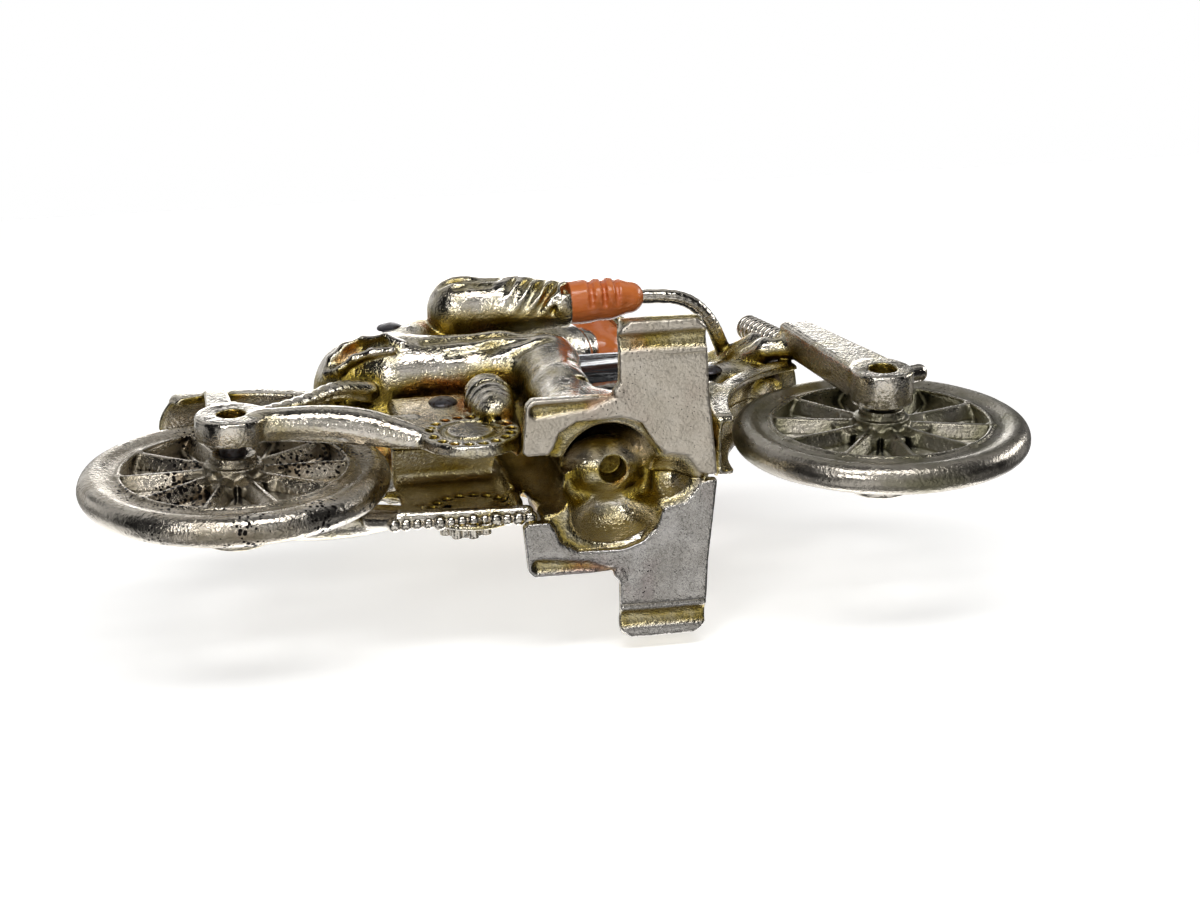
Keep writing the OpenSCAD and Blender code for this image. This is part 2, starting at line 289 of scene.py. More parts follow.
def skin(iron):
    """Wraps the metal's surface in quads that face outwards: points in mm, and quads."""
    f = iron.field
    s = f < 0
    steps = [(i, j, k) for i in (0, 1) for j in (0, 1) for k in (0, 1)]
    some = np.zeros(np.array(f.shape) - 1, bool)
    every = np.ones_like(some)
    for o in steps:
        view = tuple(slice(o[i], f.shape[i] - 1 + o[i]) for i in range(3))
        some |= s[view]
        every &= s[view]
    live = some & ~every
    cells = np.argwhere(live)
    number = np.full(live.shape, -1, np.int32)
    number[live] = np.arange(len(cells), dtype=np.int32)
    total = np.zeros((len(cells), 3))
    crossings = np.zeros(len(cells))
    for a in steps:
        for axis in range(3):
            if a[axis]:
                continue
            b = tuple(1 if i == axis else a[i] for i in range(3))
            fa = f[tuple((cells + a).T)]
            fb = f[tuple((cells + b).T)]
            hit = (fa < 0) != (fb < 0)
            spot = np.tile(np.array(a, float), (hit.sum(), 1))
            spot[:, axis] = fa[hit] / (fa[hit] - fb[hit])
            total[hit] += spot
            crossings[hit] += 1
    points = iron.low + iron.step * (cells + total / crossings[:, None])
    for _ in range(2):
        points -= 0.7 * iron.normals(points) * iron.at(points)[:, None]
    quads = []
    for axis in range(3):
        u, v = (axis + 1) % 3, (axis + 2) % 3
        here, there = [slice(None)] * 3, [slice(None)] * 3
        here[axis], there[axis] = slice(0, -1), slice(1, None)
        edges = np.argwhere(s[tuple(here)] != s[tuple(there)])
        edges = edges[(edges[:, u] > 0) & (edges[:, v] > 0)]
        edges = edges[(edges[:, u] < f.shape[u] - 1) & (edges[:, v] < f.shape[v] - 1)]
        du, dv = np.eye(3, dtype=int)[u], np.eye(3, dtype=int)[v]
        ids = np.stack([number[tuple(c.T)] for c in (edges, edges - du, edges - du - dv, edges - dv)], 1)
        flip = ~s[tuple(edges.T)]
        ids[flip] = ids[flip][:, ::-1]
        quads.append(ids)
    return points, np.concatenate(quads)


def mesh_piece(name, points, quads):
    """A smooth-shaded object from points in mm."""
    mesh = bpy.data.meshes.new(name)
    mesh.vertices.add(len(points))
    mesh.vertices.foreach_set("co", (np.array(points, np.float32) * MM).ravel())
    mesh.loops.add(quads.size)
    mesh.loops.foreach_set("vertex_index", quads.ravel().astype(np.int32))
    mesh.polygons.add(len(quads))
    mesh.polygons.foreach_set("loop_start", np.arange(0, quads.size, 4, dtype=np.int32))
    mesh.update(calc_edges=True)
    mesh.shade_smooth()
    piece = bpy.data.objects.new(name, mesh)
    bpy.context.scene.collection.objects.link(piece)
    return piece


def settle(piece):
    """Turns the modifiers' result into the piece's own plain mesh."""
    shown = piece.evaluated_get(bpy.context.evaluated_depsgraph_get())
    made = bpy.data.meshes.new_from_object(shown)
    piece.modifiers.clear()
    piece.data = made
    made.name = piece.name


def pour(name, iron, mirror=False):
    """Makes a piece from an iron block, with its hollows and its proud edges marked at each point."""
    points, quads = skin(iron)
    piece = mesh_piece(name, points, quads)
    triangles = 2 * len(quads)
    if triangles > MOST_TRIANGLES:
        thinner = piece.modifiers.new("thinner", "DECIMATE")
        thinner.ratio = MOST_TRIANGLES / triangles
        settle(piece)
    spots = np.zeros(len(piece.data.vertices) * 3, np.float32)
    piece.data.vertices.foreach_get("co", spots)
    spots = spots.reshape(-1, 3) / MM
    outward = iron.normals(spots)
    # occlusion measure, kept as "recess": how closed in each point is by metal nearby; the finishes paint
    # tarnish and shade into the hollows from it
    hidden = np.zeros(len(spots))
    depths = (1.5, 4.0, 8.0, 13.0)
    for depth in depths:
        hidden += np.clip((depth - iron.at(spots + outward * depth)) / depth, 0, 1) / len(depths)
    proud = np.clip(1 + iron.at(spots - outward * 1.6) / 1.6, 0, 1)
    for word, values in (("recess", hidden), ("edge", proud)):
        layer = piece.data.attributes.new(word, "FLOAT", "POINT")
        layer.data.foreach_set("value", values.astype(np.float32))
    if mirror:
        piece.data.transform(Matrix.Diagonal((1, -1, 1, 1)))
        piece.data.flip_normals()
    piece.data.shade_smooth()
    return piece


def paint(code):
    """A linear colour from an sRGB hex code."""
    shares = [int(code[i : i + 2], 16) / 255 for i in (1, 3, 5)]
    return [s / 12.92 if s <= 0.04045 else ((s + 0.055) / 1.055) ** 2.4 for s in shares] + [1.0]


def fill(tree, node, values):
    """Fills a node's inputs with plain values, or links them to a socket or a node's first output."""
    for key, value in values.items():
        if isinstance(value, bpy.types.Node):
            value = value.outputs[0]
        if isinstance(value, bpy.types.NodeSocket):
            tree.links.new(value, node.inputs[key])
        else:
            node.inputs[key].default_value = value


def wire(tree, kind, values, **settings):
    """Adds a node. Settings are its own properties, and values go to its inputs."""
    made = tree.nodes.new(kind)
    for key, value in settings.items():
        setattr(made, key, value)
    fill(tree, made, values)
    return made


def new_finish(name):
    """A named material with an empty node tree, its shader and its output."""
    finish = bpy.data.materials.new(name)
    finish.use_nodes = True
    return finish, finish.node_tree, finish.node_tree.nodes["Principled BSDF"]


def per_mm(size):
    """The scale of a pattern on object coordinates whose features are that many mm wide."""
    return 1 / (size * MM)


def sums(tree, operation, *terms, **settings):
    """The result of a sum."""
    return wire(tree, "ShaderNodeMath", dict(enumerate(terms)), operation=operation, **settings).outputs[0]


def ramp(tree, value, low, high, start=0.0, end=1.0, **settings):
    """A value that goes from start to end while another goes from low to high."""
    span = {"Value": value, "From Min": low, "From Max": high, "To Min": start, "To Max": end}
    return wire(tree, "ShaderNodeMapRange", span, **settings).outputs[0]


def tint(tree, share, first, second):
    """The first colour with a share of the second."""
    return wire(tree, "ShaderNodeMix", {0: share, 6: first, 7: second}, data_type="RGBA").outputs[2]


def noise(tree, spot, size, detail, rough=0.5):
    """A cloudy pattern with features that many mm wide."""
    cloud = {"Vector": spot, "Scale": per_mm(size), "Detail": detail, "Roughness": rough}
    return wire(tree, "ShaderNodeTexNoise", cloud).outputs["Fac"]


def bumps(tree, height, strength, distance, under=None):
    """A surface raised by a pattern, over another such surface if one is given."""
    relief = {"Height": height, "Strength": strength, "Distance": distance}
    if under:
        relief["Normal"] = under
    return wire(tree, "ShaderNodeBump", relief).outputs[0]


def nickel(name, clean, warm, tarnish, rust, grime_and_shade, polish, grain, pits, worn_below=-100):
    """Nickel plate on sand-cast iron, tumbled. The eye sees warm grey mirrors broken by casting
    grain, yellow and brown tarnish in every hollow, painted shade with grime in the deepest hollows,
    black pits where the plate has lifted, and under a height in mm a dull skin from standing on
    tables, with a darker bluish painted reflection on the left."""
    finish, tree, shader = new_finish(name)
    spot = wire(tree, "ShaderNodeTexCoord", {}).outputs["Object"]
    recess = wire(tree, "ShaderNodeAttribute", {}, attribute_name="recess").outputs["Fac"]
    edge = wire(tree, "ShaderNodeAttribute", {}, attribute_name="edge").outputs["Fac"]
    # cloudy patches of tarnish, 9 mm and 3 mm across
    cloud = noise(tree, spot, 9, 5, 0.6)
    fleck = noise(tree, spot, 2.6, 4)
    # sand grain, drawn at 0.7 mm because the real 0.3 mm would not show
    sand = noise(tree, spot, 0.75, 3)
    dent = noise(tree, spot, 2.2, 2)
    drift = sums(tree, "MULTIPLY_ADD", cloud, 0.9, -0.45)
    hollow_and_cloud = sums(tree, "ADD", recess, drift)
    warmth = ramp(tree, hollow_and_cloud, 0.02, 0.34, 0.0, 0.9, interpolation_type="SMOOTHSTEP")
    yellow = ramp(tree, hollow_and_cloud, 0.22, 0.56, 0.0, 0.95, interpolation_type="SMOOTHSTEP")
    # painted shade: the deepest hollows, found by the occlusion measure, darken towards the dark brown, which
    # stands for the shade there as well as for grime
    speck = sums(tree, "MULTIPLY_ADD", fleck, 0.8, -0.4)
    deep = sums(tree, "ADD", hollow_and_cloud, speck)
    hollow_shade_and_grime = ramp(tree, deep, 0.58, 0.92, 0.0, 0.95, interpolation_type="SMOOTHSTEP")
    # pits of 0.4 mm, in patches
    pit_cell = wire(tree, "ShaderNodeTexVoronoi", {"Vector": spot, "Scale": per_mm(1.1)})
    patch = noise(tree, spot, 16, 2)
    pit_size = ramp(tree, patch, 0.44, 0.62, 0.02, pits)
    pit = sums(tree, "LESS_THAN", pit_cell.outputs["Distance"], pit_size)
    base = tint(tree, warmth, paint(clean), paint(warm))
    rusty = ramp(tree, patch, 0.54, 0.66, 0.0, 0.85)
    stain = tint(tree, rusty, paint(tarnish), paint(rust))
    aged = tint(tree, yellow, base, stain)
    aged_with_hollow_shade = tint(tree, hollow_shade_and_grime, aged, paint(grime_and_shade))
    # the dull skin on the soles, with a painted dark reflection that makes the left sole darker and bluish
    place = wire(tree, "ShaderNodeSeparateXYZ", {0: spot})
    sole = ramp(tree, place.outputs["Z"], (worn_below + 0.8) * MM, worn_below * MM, 0.0, 0.8)
    left = ramp(tree, place.outputs["Y"], -MM, MM)
    # painted reflection: the left sole is darker and bluish, the right one pale warm grey
    sole_tone_with_painted_reflection = tint(tree, left, paint("#d8cfc3"), paint("#a9a7a8"))
    soled = tint(tree, sole, aged_with_hollow_shade, sole_tone_with_painted_reflection)
    pitted = tint(tree, pit, soled, paint("#1d1a18"))
    # proud edges are rubbed bright, hollows stay rough
    haze = ramp(tree, hollow_and_cloud, 0.0, 0.8, polish, polish + 0.18)
    rubbed = sums(tree, "MULTIPLY_ADD", edge, -0.1, haze)
    smear = sums(tree, "MULTIPLY_ADD", fleck, 0.14, rubbed)
    pit_rough = sums(tree, "MULTIPLY_ADD", pit, 0.3, smear)
    right = sums(tree, "MULTIPLY_ADD", left, -0.16, 0.24)
    rough = sums(tree, "MULTIPLY_ADD", sole, right, pit_rough)
    # the grain fades where the tumbling barrel reached
    bite = ramp(tree, deep, -0.1, 0.4, grain * 0.22, grain)
    rise = bumps(tree, dent, 0.35, 0.00025)
    grit = bumps(tree, sand, bite, 0.0003, rise)
    fill(tree, shader, {"Base Color": pitted, "Metallic": 1.0, "Roughness": rough, "Normal": grit})
    return finish


cast_nickel = nickel(
    "tumbled_nickel_plate", "#d2cbbf", "#bcb18c", "#9a8534", "#a4601e", "#33210d", 0.05, 1.0, 0.15,
    plate_z + 0.2,
)


# Centre and radius of each station, on the rider's right
TORSO = (
    ((-38, -2, 79), 15.5), ((-26, -2, 92), 14.5), ((-8, -1, 104), 14), ((8, 0, 109), 10), ((18, 0, 113), 6.5),
)
TAIL = (((-42, -7, 76), 11.5), ((-34, -9, 72), 10.5))
LEG = (
    ((-34, -10.5, 71), 9.5), ((-10, -12, 67.5), 8.2), ((0.5, -12.4, 63), 7.9), ((0, -12.4, 42), 7),
    ((-1.5, -12.4, 26), 6.2),
)
BOOT = (((-3.5, -14, 21), 5.2), ((8, -15.4, 20.4), 3.8))
ARM = (((-4, -11, 106), 8), ((-15.5, -20, 91.5), 7.8), ((-2, -21, 88), 7), ((8, -21.8, 84.5), 5.9))
cuff_x = 10.6
# raised hem and hollow of the coat's pocket flap
HEM_TOP = (
    ((-51, -12.6, 71.4), 0.8), ((-49.4, -15, 72.8), 1.0), ((-46, -17.6, 73.6), 1.1),
    ((-41.5, -19, 73.4), 1.1), ((-36.8, -20.2, 69.9), 1.2), ((-33, -19.6, 66.6), 0.8),
)
HEM_LOW = (
    ((-51, -12.4, 70.4), 0.8), ((-47.9, -13.9, 67.8), 0.9), ((-44.6, -16.4, 67.6), 1.0),
    ((-40.4, -18.1, 66.4), 1.0), ((-35.8, -18.9, 64.6), 0.9),
)
POCKET = (((-47.6, -15.6, 70.2), 1.3), ((-43, -18, 70.6), 2.1), ((-38, -20, 68.2), 1.5))
# creases that fan out to the knee, then the ones over the elbow
CREASES = (
    (((-2, -20.9, 64.6), 0.5), ((-16.9, -20.2, 67.2), 0.9), ((-27.9, -19.8, 67.2), 0.6)),
    (((-4, -20.3, 62.6), 0.5), ((-12.7, -19.2, 62.4), 0.9), ((-22.5, -17.6, 62.6), 0.6)),
    (((-9, -19.5, 60.8), 0.5), ((-17.6, -17, 60.9), 0.7)),
    (((1.4, -20.9, 60), 0.5), ((-3.7, -19.8, 59), 0.8), ((-7.3, -17.6, 59.2), 0.5)),
    (((-20.6, -26.9, 90.5), 0.6), ((-13.3, -28.2, 89.8), 0.8), ((-7, -28.2, 88.8), 0.5)),
    (((-17, -27, 87), 0.5), ((-12.5, -27.6, 87.3), 0.7), ((-9, -27.4, 86.4), 0.4)),
)
SHIN_NICKS = (
    ((6.2, -16.6, 52), (3.6, -19, 49)), ((6.2, -16.4, 45.6), (3.6, -18.8, 43)),
    ((5.8, -16.2, 39.6), (3.4, -18.4, 37.2)),
)
BAR = [((x, y, z), 1.8) for x, y, z in (
    (51, -4, 86), (49, -8.5, 85), (46.5, -14.5, 84.5), (41.5, -20.5, 84), (34, -22.8, 84), (12, -21.8, 84.5),
)]
PLATE = (
    (31, -0.6), (29, -20), (28.4, -reach + 2.4), (26, -reach), (11, -reach), (8.6, -reach + 2.4), (8.6, -23),
    (7, -20.8), (-11, -21), (-12.4, -19.6), (-13.4, -9), (-12.4, -8), (-7.4, -8), (-6.4, -9.4), (-5, -13),
    (-1, -15.4), (9, -15.6), (13.6, -14), (16.5, -9), (19, -6.4), (24, -5.6), (27, -1.4), (29, -0.6),
)
SLEEVE_FOLDS = 5
COOLING_FINS = 5
BULB_RIBS = 4
REAR_BOSS = (8.2, 5.8)
FRONT_BOSS_R = 7.3
chainwheel_at = np.array([-23, 26.5])
chainwheel_r = 11.4
link_holes = 18


def cast_half(side):
    """One half of the toy in iron, drawn on the rider's right."""
    face = boss_face[side]
    # the left stays sit nearer the middle plane than the right ones
    inset = boss_face["right"] - face
    half = Iron((-94, -39.2, 10.5), (92, 7.2 if side == "left" else 1.2, 133), CAST_GRID)

    # coat, trousers, boot and sleeve
    half.run(TORSO, 3)
    half.run(TAIL, 2)
    half.run(LEG, 2.5)
    half.run(BOOT, 2)
    half.run(ARM, 2)
    half.cut(block((cuff_x, -34, 74), (26, -13, 95), 0.3), 0.8)
    half.run(HEM_TOP, 1.2)
    half.run(HEM_LOW, 1.2)
    half.run(POCKET, 1.0, away=True)
    for crease in CREASES:
        half.run(crease, 1.6, away=True)
    for a, b in SHIN_NICKS:
        half.cut(round_bar(a, b, 0.5), 0.4)
    for i in range(SLEEVE_FOLDS):
        x = -9 + 4 * i
        fold = (((x + 6, -27.8, 87), 0.3), ((x + 2.4, -26.4, 82), 0.75), ((x - 1.6, -21.4, 79.6), 0.4))
        half.run(fold, 1.6, away=True)
    # collar, and the saddle under the coat
    half.add(can((12.6, 0, 110.6), (16.4, 0, 113), 8, 1.2), 1)
    half.add(lump((-42, 0, 66), (14, 8.5, 5)), 1.5)

    # backbone, steering head and down tube
    half.run((((-44, 0, 64), 6), ((0, 0, 67), 6), ((48, 0, 77), 6.5)), 2)
    half.run((((55, 0, 72), 6.5), ((50, 0, 89), 6)), 2)
    half.run((((45, 0, 76), 5), ((31, 0, 49), 4.4), ((26.5, 0, 21), 4.2)), 2)

    # crankcase and cylinders, with their cooling fins
    half.add(block((-38.6, -10, 31), (-11, 2, 57), 2), 2)
    half.add(lump((5, -5, 33), (15, 11, 14)), 2)
    half.add(block((-9, -16.8, plate_z + plate_t - 1), (19, 2, 24), 2), 3)
    half.add(lump((4, -3, 44), (22, 9, 14)), 3)
    half.add(lump((18, -1, 44), (11, 8, 12)), 3)
    half.add(block((15, -7.4, plate_z + 0.6), (28.6, 2, 30), 2), 1.5)
    for i in range(COOLING_FINS):
        z = 43 + 2.8 * i
        half.cut(block((11, -14, z), (31, -4.4, z + 1.1), 0.3), 0.5)
    # ribbed bulb beside the rear of the case
    half.add(round_bar((-16, -11.5, 35.6), (-16, -11.5, 48), 4.4, 5.4), 0.5)
    for i in range(BULB_RIBS):
        z = 34.6 + 3 * i
        half.add(can((-16, -11.5, z), (-16, -11.5, z + 1.5), 4.5 + 0.45 * i, 0.7), 0.9)

    # rear stays: boss, chain stay, seat stay and the mudguard's strap
    x, z = rear_axle[0], rear_axle[2]
    boss_r, boss_t = REAR_BOSS
    middle = -face + boss_t / 2
    half.add(can((x, -face, z), (x, -face + boss_t, z), boss_r, 0.8), 0)
    half.run(eased((
        ((x + 6, middle, z - 1), 3.2), ((-56, middle + 0.2, 33), 3.9), ((-46, -11.6 + inset, 31.6), 4.0),
        ((-38, -9.4 + inset, 29), 3.4), ((-31, -8.4 + inset, 26), 2.4),
    )), 1.2)
    half.run(eased((
        ((x + 6, middle - 0.6, z + 3), 1.9), ((-58, -12.6 + inset, 49), 1.7), ((-50, -12.6 + inset, 58), 1.9),
        ((-42, -10 + inset, 62), 2.4),
    )), 0.8)
    half.run((((-52, -12 + inset, 36), 1.3), ((-42, -9.4 + inset, 41), 1.4), ((-34, -9, 42), 1.4)), 1.2)
    strap = ((x - 5, z + 6), (x + 2.6, z + 6), (x + 1, z + 38), (x - 4.4, z + 38))
    strap_root = ((x - 5, z + 5), (x + 2.6, z + 5), (x + 2.2, z + 12), (x - 4.6, z + 12))
    half.add(slab(strap, 1, -9.6, -7.4, 0.6), 0.8)
    half.add(slab(strap_root, 1, -face + 1, -7.4, 0.8), 1.5)

    # fork leg, its links to the steering head and the two small stops
    x, z = front_axle[0], front_axle[2]
    half.add(can((x, -face, z), (x, -7.8, z), FRONT_BOSS_R, 0.8), 0)
    half.add(slab(((62, 77), (69, 78.4), (x + 6, z + 2), (x - 6.4, z - 0.4)), 1, -face, -7.9, 1.2), 1.4)
    half.run((((65, -10.4, 73), 2.6), ((58, -9, 76), 3.0), ((53, -5, 80), 3)), 1.6)
    half.run((((64, -10.6, 78), 2.4), ((57, -9.4, 82), 2.2), ((51, -6, 84), 2.4)), 1.6)
    half.run((((x + 4, -10.6, z + 8), 2.3), ((x + 12.5, -10.4, z + 11.5), 2.2)), 0.8)
    half.add(lump((72.8, -13.4, 60), (1.8, 1.8, 2.4)), 0.6)

    # handlebar
    half.run(eased(BAR), 0.3)

    # mudguards
    half.add(guard(rear_axle[0], rear_axle[2], 41.6, 8.4, 1.7, 2.6, 42, 112), 0.8)
    half.add(guard(front_axle[0], front_axle[2], 40.4, 7.4, 1.6, 2.4, 104, 186), 0.8)
    half.run((((33.5, -4.5, 40), 2.2), ((35, -5.6, 49), 2.8), ((40, -6, 58), 2)), 1.4)

    # chainwheel with its ring of link holes
    x, z = chainwheel_at
    half.add(can((x, -11 + inset, z), (x, -5.6, z), chainwheel_r, 0.9), 1)
    half.add(can((x, -11.6 + inset, z), (x, -10 + inset, z), 1.3, 0.5), 0.4)
    half.cut(can((x, -13 + inset, z), (x, -10.5 + inset, z), 7, 0.2), 0.4)
    half.add(can((x, -11.2 + inset, z), (x, -9 + inset, z), 5.4, 0.4), 0.6)
    for i in range(link_holes):
        a = 2 * math.pi * i / link_holes
        half.cut(lump((x + 9.2 * math.cos(a), -11 + inset, z + 9.2 * math.sin(a)), (1.05, 1.8, 1.05)), 0.2)

    # foot plate: grooved along the toe rest and the outer end
    half.add(slab(PLATE, 2, plate_z, plate_z + plate_t, 0.6), 0.8)
    half.add(can((9, -reach + 2.6, plate_z + 3.2), (27.6, -reach + 2.6, plate_z + 3.2), 2.6, 0.8), 1.2)
    toe_groove = (
        ((-10, -18.3, plate_z - 0.6), 1.9), ((1, -19, plate_z - 0.6), 1.5), ((7.4, -20.6, plate_z), 0.6),
    )
    end_groove = (((7, -reach + 4.6, plate_z - 1.2), 2.6), ((30, -reach + 4.6, plate_z - 1.2), 2.6))
    half.run(toe_groove, 0.5, away=True)
    half.run(end_groove, 0.5, away=True)
    half.run((((7, -reach + 8.2, plate_z), 0.35), ((30, -reach + 8, plate_z), 0.35)), 0.2, away=True)
    half.run((((8.4, -21.6, plate_z + 1), 1.3), ((9.8, -23.4, plate_z + 1.4), 1.2)), 0.8)

    # hollows: the bowl inside the leg, the front of the case, the deep pocket and the channel
    if side == "left":
        half.cut(lump((7.4, -8.4, plate_z - 3), (10.4, 6.6, 14)), 1.5)
        half.cut(block((-2.4, -6.4, 5), (17.6, 4, 24.5), 2.4), 2)
    else:
        half.cut(lump((6.4, -1, plate_z - 6), (12, 13.6, 27)), 1.5)
    half.cut(lump((19, 0, plate_z - 3), (6.4, 5.2, 10)), 2)
    half.cut(round_bar((-8, -1, 16), (-9, -1, 46), 6.0, 5.2), 1.2)
    half.cut(block((-60, -7.8, 5), (-14, 4, 47), 2.4), 1.5)

    # axle bores, the uneven surface, and the middle plane where the halves meet
    for spot in (rear_axle, front_axle):
        half.cut(can((spot[0], -40, spot[2]), (spot[0], 4, spot[2]), bore_r, 0.2), 0.3)
    half.waves(7, 0.16, 11 if side == "left" else 5)
    half.waves(2.6, 0.05, 12 if side == "left" else 6)
    half.cut(block((-200, -seam, -50), (200, 60, 300), 0), 0)
    if side == "left":
        # the bar that carries the chain's lower run
        half.run((((-46, -8.6, 27), 2.2), ((-40, -7, 21.5), 1.9), ((-12, -6.6, 18.6), 1.7)), 1)
        # locating lump that reaches across the middle plane, with a drilled hole
        half.add(lump((7.6, 0.2, 28), (9.5, 6.6, 7.6)), 2)
        half.cut(can((8.4, 1.0, 10), (8.4, 1.0, 27), 3.0, 0.4), 0.5)
    return half


CAST_NODES = (
    "rear_stays", "fork_leg", "backbone", "handlebar", "crankcase", "foot_plate", "rider",
    "rear_mudguard", "front_mudguard", "chainwheel",
)
for side in ("right", "left"):
    casting = pour(f"{side}_casting", cast_half(side), mirror=side == "left")
    casting.data.materials.append(cast_nickel)
    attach(casting, "body")
    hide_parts(*[f"{side}_{part}" for part in CAST_NODES])

# ---------------------------------------------------------------------------------------------
# Fuel tank. The two halves of the tank are part of the castings, and are brushed with thick
# black enamel by hand, so the brush leaves long streaks from front to back.
# ---------------------------------------------------------------------------------------------


def enamel(name, colour, shade, streak_mm, streak_long, chips):
    """Brushed enamel over the plate. The eye sees a wet gloss with brush streaks in a second colour,
    the same colour in the hollows, where for the orange it is a painted shade, and small chips down
    to the metal on the edges."""
    finish, tree, shader = new_finish(name)
    spot = wire(tree, "ShaderNodeTexCoord", {}).outputs["Object"]
    recess = wire(tree, "ShaderNodeAttribute", {}, attribute_name="recess").outputs["Fac"]
    edge = wire(tree, "ShaderNodeAttribute", {}, attribute_name="edge").outputs["Fac"]
    along = wire(tree, "ShaderNodeMapping", {"Vector": spot, "Scale": (1 / streak_long, 1, 1)})
    streak = noise(tree, along.outputs[0], streak_mm, 3)
    fleck = noise(tree, spot, 0.9, 4)
    tone = sums(tree, "MULTIPLY_ADD", streak, 0.5, -0.2)
    # painted shade: the hollows, found by the occlusion measure, move towards the second colour along with
    # the brush streaks; for the orange that colour is darker
    streak_and_hollow_shade = sums(tree, "MULTIPLY_ADD", recess, 1.1, tone, use_clamp=True)
    coat = tint(tree, streak_and_hollow_shade, paint(colour), paint(shade))
    wear = sums(tree, "ADD", fleck, edge)
    chip = sums(tree, "GREATER_THAN", wear, chips)
    bare = tint(tree, chip, coat, paint("#b3a890"))
    gloss = sums(tree, "MULTIPLY_ADD", fleck, 0.12, 0.16)
    height = sums(tree, "MULTIPLY_ADD", chip, -0.5, streak)
    bump = bumps(tree, height, 0.7, 0.00035)
    fill(tree, shader, {
        "Base Color": bare, "Metallic": chip, "Roughness": gloss, "Normal": bump, "Coat Weight": 0.5,
        "Coat Roughness": 0.08,
    })
    return finish


def middle_cut(iron):
    """Ends a half piece on the middle plane."""
    iron.cut(block((-200, -seam, -50), (200, 60, 300), 0), 0)


black_enamel = enamel("brushed_black_enamel", "#0b0b0d", "#1c1d22", 0.9, 9, 1.72)
TANK_GRID = 0.45
tank = Iron((-16, -12, 62), (46, 1.2, 96), TANK_GRID)
tank.run((((-6, -0.5, 82), 8), ((36, -0.5, 86), 7)), 1)
tank.run((((-4, -3, 71), 6), ((36, -2.4, 77), 6)), 3)
tank.add(block((-5, -7.4, 72), (36, 2, 86), 3), 3)
# filler cap on top
tank.add(can((22, 0, 88), (22.4, 0, 93.4), 3.2, 0.8), 0.8)
tank.waves(5, 0.14, 21)
middle_cut(tank)
for side in ("right", "left"):
    shell = pour(f"{side}_tank_enamel", tank, mirror=side == "left")
    shell.data.materials.append(black_enamel)
    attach(shell, "body")
    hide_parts(f"{side}_tank")

# ---------------------------------------------------------------------------------------------
# Hands. Two gloved hands, cast with the sleeves and wrapped round the grips, brushed with the
# same orange enamel as the face.
# ---------------------------------------------------------------------------------------------

orange_enamel = enamel("brushed_orange_enamel", "#ee8a48", "#cf6228", 1.3, 3, 1.66)
HAND_GRID = 0.32
hand = Iron((9, -31, 76), (30, -14, 93), HAND_GRID)
hand.run(
    (((9, -21.9, 84.4), 5.3), ((14, -22.2, 84.2), 5.2), ((20, -22.5, 84), 5.0), ((25, -22.6, 84), 4.0)), 1,
)
hand.add(lump((18.5, -24.2, 83.2), (7.2, 3.4, 4.4)), 1.5)
# thumb over the grip, then the grooves between the fingers
hand.run((((13, -19, 87), 2.0), ((19, -19.4, 88), 1.9), ((23, -20.6, 87.6), 1.5)), 0.8)
for i in range(3):
    x = 15.2 + 3.2 * i
    round_hand = [math.radians(a) for a in range(50, -91, -20)]
    hand.run(
        [((x, -22.6 - 5.2 * math.cos(a), 83.8 + 5.0 * math.sin(a)), 0.4) for a in round_hand], 0.9, away=True,
    )
hand.waves(3, 0.1, 31)
hand.cut(block((0, -40, 60), (cuff_x - 0.4, 0, 120), 0), 0)
for side in ("right", "left"):
    glove = pour(f"{side}_hand_enamel", hand, mirror=side == "left")
    glove.data.materials.append(orange_enamel)
    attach(glove, "body")
    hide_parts(f"{side}_hand")

# ---------------------------------------------------------------------------------------------
# Head. A calm, plain face in orange enamel looks out from under a close leather cap, which is
# left in bare plate. Both are cast in halves with the coats.
# ---------------------------------------------------------------------------------------------

HEAD_GRID = 0.3
head_at = np.array([22.5, 0, 119])
LEAN = math.radians(12)
CAP_EDGE = 1.9


def head_point(x, y, z):
    """A point on the head, given along its own forward, side and up directions."""
    return head_at + (x * math.cos(LEAN) + z * math.sin(LEAN), y, z * math.cos(LEAN) - x * math.sin(LEAN))


def brow_plane(height):
    """Everything above the cap's lower edge."""
    up = np.array([math.sin(LEAN), 0, math.cos(LEAN)], np.float32)

    def distance(x, y, z):
        return height - ((x - head_at[0]) * up[0] + y * up[1] + (z - head_at[2]) * up[2])

    return distance, head_at - 24, head_at + 24


face = Iron(head_at - (14, 10, 16), head_at + (14, 1.2, 15), HEAD_GRID)
face.add(lump(head_point(-0.6, 0, 1), (8.8, 7.6, 9.4)), 0)
face.add(lump(head_point(2.6, 0, -5.4), (5.6, 5.0, 5.2)), 2.5)
face.run(((head_point(7.4, 0, 0.2), 0.9), (head_point(9.6, 0, -2.8), 1.3)), 1.0)
face.add(lump(head_point(8.9, -1.2, -3.2), (0.9, 0.8, 0.7)), 0.6)
face.cut(lump(head_point(8.8, -3.1, -0.4), (1.7, 1.8, 1.1)), 0.9)
face.add(lump(head_point(7.3, -3.0, -0.5), (1.1, 1.2, 0.8)), 0.25)
face.run(((head_point(8.3, -1.6, 1.1), 0.4), (head_point(7.7, -4.2, 1.0), 0.35)), 0.5)
face.add(lump(head_point(6.2, -3.7, -3.0), (1.8, 1.7, 1.8)), 1.5)
face.run(((head_point(8.3, 0, -5.1), 0.5), (head_point(7.5, -1.9, -5.2), 0.3)), 0.4)
face.run(((head_point(8.1, 0, -6.0), 0.6), (head_point(7.4, -1.5, -6.0), 0.35)), 0.4)
face.run(((head_point(8.9, 0, -5.6), 0.22), (head_point(7.8, -2.1, -5.6), 0.22)), 0.25, away=True)
face.add(lump(head_point(7.0, 0, -8.4), (1.6, 1.7, 1.3)), 1.2)
